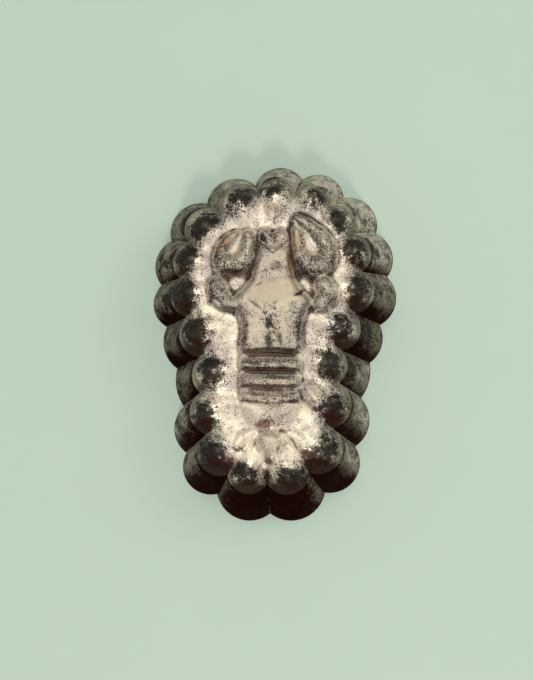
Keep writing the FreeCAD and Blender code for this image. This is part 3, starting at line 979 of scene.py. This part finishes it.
        # painted shade on the lobster's sloped sides
        slope_shade = paint.ramp(up, 0.95, 0.78) * raised
        # painted dark reflection on slopes that face the tail
        tail_dark_reflection = paint.ramp(tail + ragged * 0.40, 0.26, 0.66)
        low = paint.ramp(height, *((line.plate_top + over) * MM for over in self.tail_heights))
        colour = paint.layers(
            tin,
            # painted dark band of reflection down the shoulders, set by height
            (paint.ramp(shoulder * 0.8 + ragged * 0.8, 0.25, 0.75) * 0.72, self.shoulder_shade),
            (dark_reflection * 0.94, self.charcoal),
            # painted shade in the creases round the lobster, with the deepest hollows painted brown
            (paint.ramp(hollow, 0.16, 0.60) * 0.42, self.crease_shade),
            (paint.ramp(hollow, 0.42, 0.75) * 0.84, self.brown),
            # painted shade on the lobster's sloped sides, in speck colour
            (paint.ramp(slope_shade * 0.6 + ragged, 0.45, 0.85) * 0.75, self.speck),
            # painted dark reflection in brown on tail-facing slopes, stronger lower down
            (tail_dark_reflection * (0.80 + low * 0.16), self.brown),
        )

        # Painted highlights and rusty places
        highlight_breakup = paint.ramp(patches * 0.6 + grains * 0.4, 0.40, 0.56)
        painted_highlights = ((paint.spot(zone) * highlight_breakup, self.bright) for zone in self.highlight_zones)
        colour = paint.layers(colour, *painted_highlights)
        colour = paint.stained(colour, self.oxide_zones, self.oxide)
        crown = paint.ramp(dome_dark_mark, 0.15, 0.55) * paint.ramp(up, 0.70, 0.92)
        return paint.finish({
            "Base Color": colour,
            "Roughness": 0.40 + density * 0.10 + specks * 0.16 - dark_reflection * 0.06 - crown * 0.12,
            "Metallic": 0.50 + crown * 0.15 - specks * 0.28 - worn * 0.36 - tail_dark_reflection * 0.22,
            "Specular IOR Level": self.specular,
        }, patches * 0.5 + grains * 0.30 + clouds * 0.8)


@dataclass(frozen=True)
class DarkenedSide:
    """Mottled tin of the flared side, with painted reflections and shade: greyer at the head, near black
    brown at the tail.
    """

    grey: Colour = (0.71, 0.615, 0.49)
    dull: Colour = (0.200, 0.162, 0.115)
    # olive is the colour of the painted green reflection on the walls
    olive: Colour = (0.22, 0.225, 0.125)
    amber: Colour = (0.22, 0.13, 0.05)
    # near black of the specks, and of the painted shade and dark reflection on the wall
    speck_and_shade_black: Colour = (0.018, 0.016, 0.012)
    # brown is the colour of the painted dark reflection on walls that face the tail
    brown: Colour = (0.013, 0.0030, 0.0016)
    clouds: Cloud = Cloud(90, 5, 0.62)
    patches: Cloud = Cloud(300, 6, 0.70)
    grains: Cloud = Cloud(1200, 4, 0.74)
    streaks: Cloud = Cloud(230, 4, 0.6, (1.0, 1.0, 0.25))
    drifts: Cloud = Cloud(46, 3, 0.5)
    rust: Cloud = Cloud(140, 3)
    # the way the painted green reflection faces
    green_reflection_side: Triple = (-0.8, 0.7, 0.1)
    # heights of the painted shade along the rim's lowest edge, in millimetres
    rim_heights: tuple[float, float] = (1.3, 0.3)

    def material(self) -> bpy.types.Material:
        """Builds the finish."""
        paint = Paint("darkened_side")
        tail, tone = paint.facing((0, -1, 0)), paint.mark("tone")
        clouds, patches = paint.noise(self.clouds), paint.noise(self.patches)
        grains, streaks = paint.noise(self.grains), paint.noise(self.streaks)
        murk = (patches - 0.5) * 1.3 + (clouds - 0.5) * 1.7 + (paint.noise(self.drifts) - 0.5) * 1.2
        murk = murk + (grains - 0.5) * 0.5
        strayed = (patches - 0.5) * 0.9 + (clouds - 0.5) * 0.7 + (grains - 0.5) * 0.5
        mottle = paint.ramp(patches * 0.6 + clouds * 0.4 + (tone - 0.5) * 0.30, 0.43, 0.60)
        # painted green reflection, on walls facing the left and the head
        green_reflection = paint.ramp(clouds + paint.facing(self.green_reflection_side) * 0.13, 0.58, 0.67)
        specks = paint.ramp(grains * 0.7 + streaks * 0.45 - tone * 0.05, 0.56, 0.62)
        # painted dark reflection at the top of the wall, broken up by mottle
        dark_reflection = paint.ramp(paint.mark("dark_reflection") * 0.80 + murk * 1.25 - (tone - 0.5) * 0.70, 0.20, 0.52)
        # painted dark reflection on walls that face the tail
        tail_dark_reflection = paint.ramp(tail + strayed, 0.06, 0.62)
        rim = paint.ramp(paint.height(), *(height * MM for height in self.rim_heights))
        colour = paint.layers(
            paint.blend(mottle, self.dull, self.grey),
            # painted green reflection in olive
            (green_reflection * 0.60, self.olive),
            (paint.ramp(paint.noise(self.rust), 0.66, 0.74) * 0.5, self.amber),
            (specks * 0.88, self.speck_and_shade_black),
            # painted dark reflection near the top of the wall
            (dark_reflection * 0.90, self.speck_and_shade_black),
            # painted dark reflection in near black brown on tail-facing walls
            (tail_dark_reflection * 0.98, self.brown),
            # painted shade along the lowest edge of the rim
            (rim * 0.85, self.speck_and_shade_black),
        )
        return paint.finish({
            "Base Color": colour,
            "Roughness": 0.40 + specks * 0.16 + dark_reflection * 0.06,
            "Metallic": (0.50 - specks * 0.25) * (1.0 - dark_reflection * 0.8) * (1.0 - tail_dark_reflection),
            "Specular IOR Level": 0.0,
        }, patches * 0.6 + clouds + grains * 0.25)


@dataclass(frozen=True)
class SoftSolder:
    """Grey, lumpy soft solder."""

    bright: Colour = (0.42, 0.41, 0.39)
    dull: Colour = (0.17, 0.16, 0.15)
    lumps: Cloud = Cloud(420, 5, 0.6)
    pits: Cloud = Cloud(1900, 3, 0.6)
    lump_depth: float = 0.3
    metallic: float = 0.8

    def material(self) -> bpy.types.Material:
        """Builds the finish."""
        paint = Paint("soft_solder")
        lumps, pits = paint.noise(self.lumps), paint.noise(self.pits)
        colour = paint.blend(paint.ramp(lumps + (pits - 0.5) * 0.4, 0.42, 0.60), self.bright, self.dull)
        sockets = {"Base Color": colour, "Roughness": 0.38 + pits * 0.25, "Metallic": self.metallic}
        return paint.finish(sockets, lumps + pits * 0.3, self.lump_depth)


@dataclass(frozen=True)
class PaleFloor:
    """The plain pale floor, which runs into the pale sky far from the mould."""

    colour: Colour = (0.57, 0.70, 0.57)
    grain: Cloud = Cloud(30, 3)
    grain_shade: float = 0.97
    roughness: float = 0.85
    near: float = 0.45
    far: float = 1.6

    def material(self) -> bpy.types.Material:
        """Builds the finish, with a barely seen grain."""
        paint = Paint("pale_floor")
        shade = tuple(part * self.grain_shade for part in self.colour)
        colour = paint.blend(paint.noise(self.grain), self.colour, shade)
        sockets = {"Base Color": colour, "Roughness": self.roughness}
        lit = paint.node("ShaderNodeBsdfPrincipled", {}, sockets, "BSDF")
        plain = paint.node("ShaderNodeEmission", {}, {"Color": (*FAR_COLOUR, 1.0)}, "Emission")
        away = paint.ramp(paint.vector("LENGTH", paint.place, output="Value"), self.near, self.far)
        seen = paint.node("ShaderNodeLightPath", {}, {}, "Is Camera Ray")
        return paint.close(paint.node("ShaderNodeMixShader", {}, {0: away * seen, 1: lit, 2: plain}))


# Meshes

def mesh_object(name: str, points: Array, faces: list[tuple[int, ...]]) -> bpy.types.Object:
    """Makes an object from points in millimetres.

    Args:
        name: the object's name.
        points: one row for each vertex.
        faces: the vertex numbers of each face.

    Returns:
        The object, smooth shaded.
    """
    mesh = bpy.data.meshes.new(name)
    mesh.from_pydata((points * MM).tolist(), [], faces)
    mesh.update()
    mesh.shade_smooth()
    made = bpy.data.objects.new(name, mesh)
    bpy.context.scene.collection.objects.link(made)
    return made


def sheet_of(
    name: str, rows: list[Array], thickness: float, closed: bool, marks: dict[str, Array] | None = None
) -> bpy.types.Object:
    """Makes a thin sheet from rows of points; the given surface is its outer side.

    Args:
        name: the object's name.
        rows: rows of points, all of one length.
        thickness: the sheet's thickness.
        closed: whether each row runs round to its start.
        marks: named values for every point, row after row, that the finishes read.

    Returns:
        The sheet as an object, its thickness already in the mesh.
    """
    width = len(rows[0])
    points = np.round(np.concatenate(rows), MERGE_DIGITS)
    kept, chosen, numbers = np.unique(points, axis=0, return_index=True, return_inverse=True)
    numbers = numbers.reshape(len(rows), width)
    faces = []
    for low, high in zip(numbers, numbers[1:]):
        for k in range(width if closed else width - 1):
            after = (k + 1) % width
            corners = list(dict.fromkeys((int(low[after]), int(low[k]), int(high[k]), int(high[after]))))
            if len(corners) > 2:
                faces.append(tuple(corners))
    made = mesh_object(name + "_skin", kept, faces)
    for mark, values in (marks or {}).items():
        made.data.attributes.new(mark, "FLOAT", "POINT").data.foreach_set("value", values[chosen])
    solid = made.modifiers.new("sheet", "SOLIDIFY")
    solid.thickness = thickness * MM
    solid.offset = -1.0
    solid.use_even_offset = False
    sheet = bpy.data.meshes.new_from_object(made.evaluated_get(bpy.context.evaluated_depsgraph_get()))
    for vertex in sheet.vertices:
        vertex.co.z = max(vertex.co.z, 0.0)
    bpy.data.objects.remove(made)
    finished = bpy.data.objects.new(name, sheet)
    bpy.context.scene.collection.objects.link(finished)
    return finished


class Side(Enum):
    """Which half of the flared side a strip is."""

    LEFT = "left_wall"
    RIGHT = "right_wall"


@dataclass
class PressedTop:
    """The pressed top: skirt, domes, plate and lobster in one sheet."""

    line: FluteLine
    heights: PressedHeights
    dark_reflection: DomeDarkReflection = DomeDarkReflection()
    rows: int = 150
    crowding: float = 1.75
    spine_share: float = 0.60
    dent: float = 0.10
    dent_growth: float = 6.0
    edge_inset: float = 0.25

    def spine(self, outline: Array) -> Array:
        """Where each column of mesh ends, on the line down the lobster's back.

        Args:
            outline: the outline's points, one for each column.

        Returns:
            One point for each column; a column on the right shares its point with one on the left.
        """
        total = len(outline)
        head = int((self.line.count - 0.5) * self.line.columns)
        mirrored = (2 * head - np.arange(total)) % total
        y = self.spine_share * (outline[:, 1] + outline[mirrored, 1]) / 2
        return np.stack([np.full(total, self.line.shift[0]), y], 1)

    def build(self) -> bpy.types.Object:
        """Builds the sheet.

        Returns:
            The object.
        """
        share = self.line.inside_share
        outline = self.line.domes.shrunk(self.edge_inset).bends(self.line.columns)
        inward = self.spine(outline) - outline
        hand = Hand(seed=11, waves=14, shortest=9.0, longest=30.0)
        rows, seen = [], []
        for row in range(self.rows + 1):
            step = (row / self.rows) ** self.crowding
            spots = outline + inward * step
            z = np.maximum(self.heights.height(spots), self.line.skirt_base)
            points = np.column_stack([spots, z])
            points[:, 2] += hand.push(points) * self.dent * min(1.0, self.dent_growth * step)
            rows.append(points * (share, share, 1.0))
            seen.append(spots)
        spots = np.concatenate(seen)
        marks = {
            # where the painted dark reflection lies on each dome
            "dark_reflection": self.dark_reflection.depth(self.heights, spots),
            "raised": self.heights.raised(spots),
            "hollow": self.heights.hollow(spots),
        }
        return sheet_of("pressed_top", rows, self.line.thickness, True, marks)

    def dress(self, made: bpy.types.Object, finish: TinnedPlate) -> None:
        """Gives the sheet its finish and its place in the frame."""
        made.data.materials.append(finish.material(self.line))
        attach(made, "root")
        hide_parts("lobster_top")


@dataclass
class FlaredSide:
    """One strip of the flared, fluted side."""

    line: FluteLine
    heights: PressedHeights
    side: Side
    rows: int = 44
    lap_rows: int = 3
    dent: float = 0.16
    dented_share: float = 0.625
    # where the painted dark reflection starts up the wall, as a share of its height
    wall_dark_start: float = 0.45
    # lightness of each flute's wall, partly painted reflection: lighter at the head, darkest at the tail
    tones: tuple[float, ...] = (
        0.84, 0.70, 0.62, 0.42, 0.36, 0.46, 0.60, 0.48, 0.10, 0.10, 0.44, 0.50, 0.32, 0.38, 0.30, 0.48,
        0.38, 0.58, 0.62,
    )

    def span(self) -> tuple[int, int]:
        """The first flute of the strip and how many it has."""
        if self.side is Side.RIGHT:
            return 0, self.line.tail_flute
        return self.line.tail_flute, self.line.count - self.line.tail_flute

    def build(self) -> bpy.types.Object:
        """Builds the strip.

        Returns:
            The object.
        """
        line, columns = self.line, self.line.columns
        first, count = self.span()
        places = np.arange(count * columns + 1) + first * columns
        picked = places % (line.count * columns)
        rim = line.rim.bends(columns)[picked]
        lap = line.domes.shrunk(line.thickness + line.gap).bends(columns)[picked]
        inward = lap - rim
        inward /= np.linalg.norm(inward, axis=1)[:, None]
        hand = Hand(seed=5 if self.side is Side.RIGHT else 8, waves=14, shortest=10.0, longest=34.0)
        middles = (np.arange(line.count + 2) - 0.5) * columns
        tone = np.interp(places, middles, (self.tones[-1], *self.tones, self.tones[0]))
        middle = 1 - (2 * np.mod(places / columns, 1.0) - 1) ** 2
        rows, dark_reflection = [], []
        for row in range(self.rows + 1):
            share = row / self.rows
            points = np.column_stack([rim + (lap - rim) * share, np.full(len(rim), share * line.skirt_base)])
            fade = math.sin(math.pi * min(share / self.dented_share, 1.0)) * (1 - share)
            points[:, :2] += inward * ((hand.push(points) + 1.0) * self.dent * fade)[:, None]
            rows.append(points)
            # painted dark reflection, strongest at the top middle of each flute
            dark_reflection.append(np.clip((share - self.wall_dark_start) / (1 - self.wall_dark_start), 0, 1) * middle)
        for row in range(1, self.lap_rows + 1):
            level = line.skirt_base + line.lap_height * row / self.lap_rows
            rows.append(self.heights.under_shell(lap, inward, level))
            dark_reflection.append(middle)
        rows = [row * (line.inside_share, line.inside_share, 1.0) for row in rows]
        marks = {"tone": np.tile(tone, len(rows)), "dark_reflection": np.concatenate(dark_reflection)}
        return sheet_of(self.side.value + "_sheet", rows, line.thickness, False, marks)

    def dress(self, made: bpy.types.Object, material: bpy.types.Material) -> None:
        """Gives the strip its finish and its place in the frame."""
        made.data.materials.append(material)
        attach(made, "root")
        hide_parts(self.side.value)


@dataclass
class SolderRuns:
    """The runs of solder that hold the sheets together."""

    line: FluteLine
    heights: PressedHeights
    finish: SoftSolder = SoftSolder()
    nodes: tuple[str, ...] = ("head_seam_solder", "tail_seam_solder")
    height: float = 0.9
    steps: int = 5
    lump: float = 0.03

    def shoulder(self) -> bpy.types.Object:
        """Builds the run inside the shoulder, over the edge of the side.

        Returns:
            The object.
        """
        line = self.line
        start = line.domes.shrunk(line.thickness + line.gap).bends(line.columns)
        inward = start - line.rim.bends(line.columns)
        inward /= np.linalg.norm(inward, axis=1)[:, None]
        lumps = Hand(seed=3, waves=10, shortest=3.0, longest=9.0)
        rows = []
        for step in np.linspace(0, 1, self.steps):
            level = line.skirt_base + line.lap_height + line.gap + self.height * step
            points = self.heights.under_shell(start, inward, level)
            points[:, 2] += (lumps.push(points) - 1) * self.lump
            rows.append(points * (line.inside_share, line.inside_share, 1.0))
        return sheet_of("shoulder_run", rows, line.thickness, True)

    def dress(self, shoulder: bpy.types.Object) -> None:
        """Gives each run its finish.

        Args:
            shoulder: the run inside the shoulder.
        """
        material = self.finish.material()
        shoulder.data.materials.append(material)
        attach(shoulder, "root")
        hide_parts("shoulder_solder")
        for name in self.nodes:
            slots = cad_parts[name].data.materials
            slots.clear()
            slots.append(material)
            log.info("solder run %s dressed", name)


@dataclass(frozen=True)
class Lamp:
    """One soft round lamp that looks at the mould: place and size in metres, power in watts."""

    name: str
    place: Triple
    size: float
    power: float
    colour: Colour

    def hang(self) -> None:
        """Hangs the lamp."""
        data = bpy.data.lights.new(self.name, "AREA")
        data.shape = "DISK"
        data.size = self.size
        data.energy = self.power
        data.color = self.colour
        made = bpy.data.objects.new(self.name, data)
        made.location = self.place
        made.rotation_euler = (-Vector(self.place)).to_track_quat("-Z", "Y").to_euler()
        bpy.context.scene.collection.objects.link(made)


@dataclass
class Studio:
    """The pale floor, the soft lights and the camera."""

    distance: float = 0.80
    tilt: float = 8.9
    turn: float = 18.8
    lean: float = 1.45
    aim: Triple = (-0.0035, 0.0008, 0.0)
    frame_height: float = 0.338
    sensor: float = 24.0
    floor_reach: float = 3000.0
    sky_colour: Colour = (0.95, 0.97, 1.0)
    sky_strength: float = 0.45
    lamps: tuple[Lamp, ...] = (
        Lamp("window", (0.08, -0.80, 0.95), 0.20, 3.7, (1.0, 0.97, 0.92)),
        Lamp("overhead", (-0.10, 0.35, 1.30), 0.90, 5.5, (1.0, 0.98, 0.95)),
        Lamp("side_fill", (0.85, 0.45, 0.75), 0.50, 1.9, (0.96, 0.98, 1.0)),
    )

    def floor(self) -> None:
        """Lays the floor that the mould stands on."""
        signs = ((-1, -1, 0), (1, -1, 0), (1, 1, 0), (-1, 1, 0))
        made = mesh_object("floor", np.array(signs) * self.floor_reach, [(0, 1, 2, 3)])
        made.data.materials.append(PaleFloor().material())

    def sky(self) -> None:
        """Sets the soft light from all round, pale to the camera."""
        world = bpy.data.worlds.new("studio")
        bpy.context.scene.world = world
        world.use_nodes = True
        board = Board(world.node_tree)
        soft = {"Color": (*self.sky_colour, 1.0), "Strength": self.sky_strength}
        seen = {"Color": (*FAR_COLOUR, 1.0), "Strength": 1.0}
        mixed = board.node("ShaderNodeMixShader", {}, {
            0: board.node("ShaderNodeLightPath", {}, {}, "Is Camera Ray"),
            1: board.node("ShaderNodeBackground", {}, soft),
            2: board.node("ShaderNodeBackground", {}, seen),
        })
        board.node("ShaderNodeOutputWorld", {}, {"Surface": mixed})

    def camera(self) -> None:
        """Sets the camera a little off the vertical, on the tail side."""
        tilt, turn, lean = (math.radians(angle) for angle in (self.tilt, self.turn, self.lean))
        back = Vector((math.sin(tilt) * math.sin(turn), -math.sin(tilt) * math.cos(turn), math.cos(tilt)))
        up = (Vector((0, 1, 0)) - back * back.y).normalized()
        right = up.cross(back)
        up, right = up * math.cos(lean) - right * math.sin(lean), right * math.cos(lean) + up * math.sin(lean)
        data = bpy.data.cameras.new("camera")
        data.sensor_fit = "VERTICAL"
        data.sensor_height = self.sensor
        data.lens = self.sensor * self.distance / self.frame_height
        made = bpy.data.objects.new("camera", data)
        turned = Matrix((right, up, back)).transposed().to_4x4()
        made.matrix_world = Matrix.Translation(Vector(self.aim) + back * self.distance) @ turned
        bpy.context.scene.collection.objects.link(made)
        bpy.context.scene.camera = made

    def build(self) -> None:
        """Sets the whole studio up."""
        self.floor()
        self.sky()
        for lamp in self.lamps:
            lamp.hang()
        self.camera()
        bpy.context.scene.view_settings.view_transform = "Standard"


def main() -> None:
    """Builds and dresses every piece in order."""
    logging.basicConfig(level=logging.INFO)
    line = FluteLine()
    heights = PressedHeights(line)
    top = PressedTop(line, heights)
    sheet = top.build()
    top.dress(sheet, TinnedPlate())
    log.info("pressed top: %d faces", len(sheet.data.polygons))
    side_finish = DarkenedSide().material()
    for side in Side:
        strip = FlaredSide(line, heights, side)
        made = strip.build()
        strip.dress(made, side_finish)
        log.info("%s: %d faces", side.value, len(made.data.polygons))
    runs = SolderRuns(line, heights)
    shoulder = runs.shoulder()
    runs.dress(shoulder)
    log.info("shoulder run: %d faces", len(shoulder.data.polygons))
    Studio().build()


if __name__ == "__main__":
    main()
